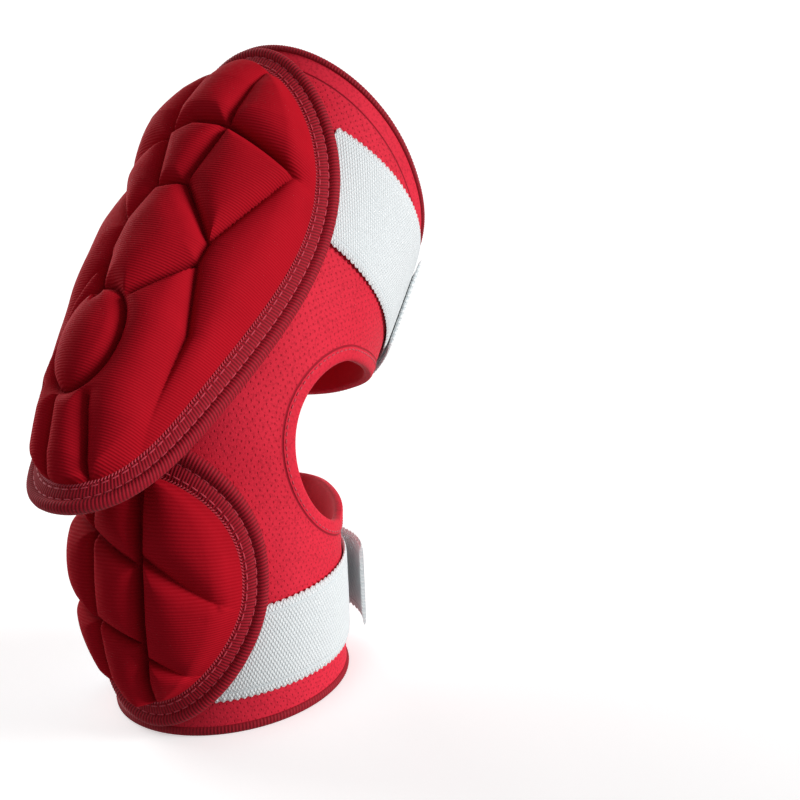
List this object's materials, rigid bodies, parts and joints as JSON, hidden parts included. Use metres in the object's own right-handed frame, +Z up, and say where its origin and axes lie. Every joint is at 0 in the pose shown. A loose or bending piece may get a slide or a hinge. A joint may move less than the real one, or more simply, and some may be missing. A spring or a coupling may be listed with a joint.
{
  "type": "baseball arm guard",
  "caption": "Soft batting arm guard: a bent mesh sleeve with an elbow opening, quilted pads over the upper arm and forearm, and elastic straps that fold back through plastic loops.",
  "frame": {"origin": "on the floor under the middle of the guard's bounding box, with the lower rim resting at z = 0", "axes": "+Z up along the standing guard; -Y is the way the pads face; the loops are on the -X side"},
  "size_m": [0.095, 0.1864, 0.2067],
  "materials": {
    "sleeve_mesh": "perforated stretch mesh",
    "pad_knit": "ribbed knit over foam",
    "tape": "ribbed binding tape",
    "elastic": "knitted elastic",
    "webbing": "ribbed webbing",
    "loop_plastic": "glossy moulded plastic"
  },
  "bodies": {
    "root": {"sleeve": "sleeve_mesh", "top_binding": "tape", "bottom_binding": "tape", "upper_pad": "pad_knit", "upper_pad_binding": "tape", "lower_pad": "pad_knit", "lower_pad_binding": "tape", "upper_strap": "elastic", "upper_tab": "webbing", "upper_loop": "loop_plastic", "lower_strap": "elastic", "lower_tab": "webbing", "lower_loop": "loop_plastic"}
  },
  "joints": []
}
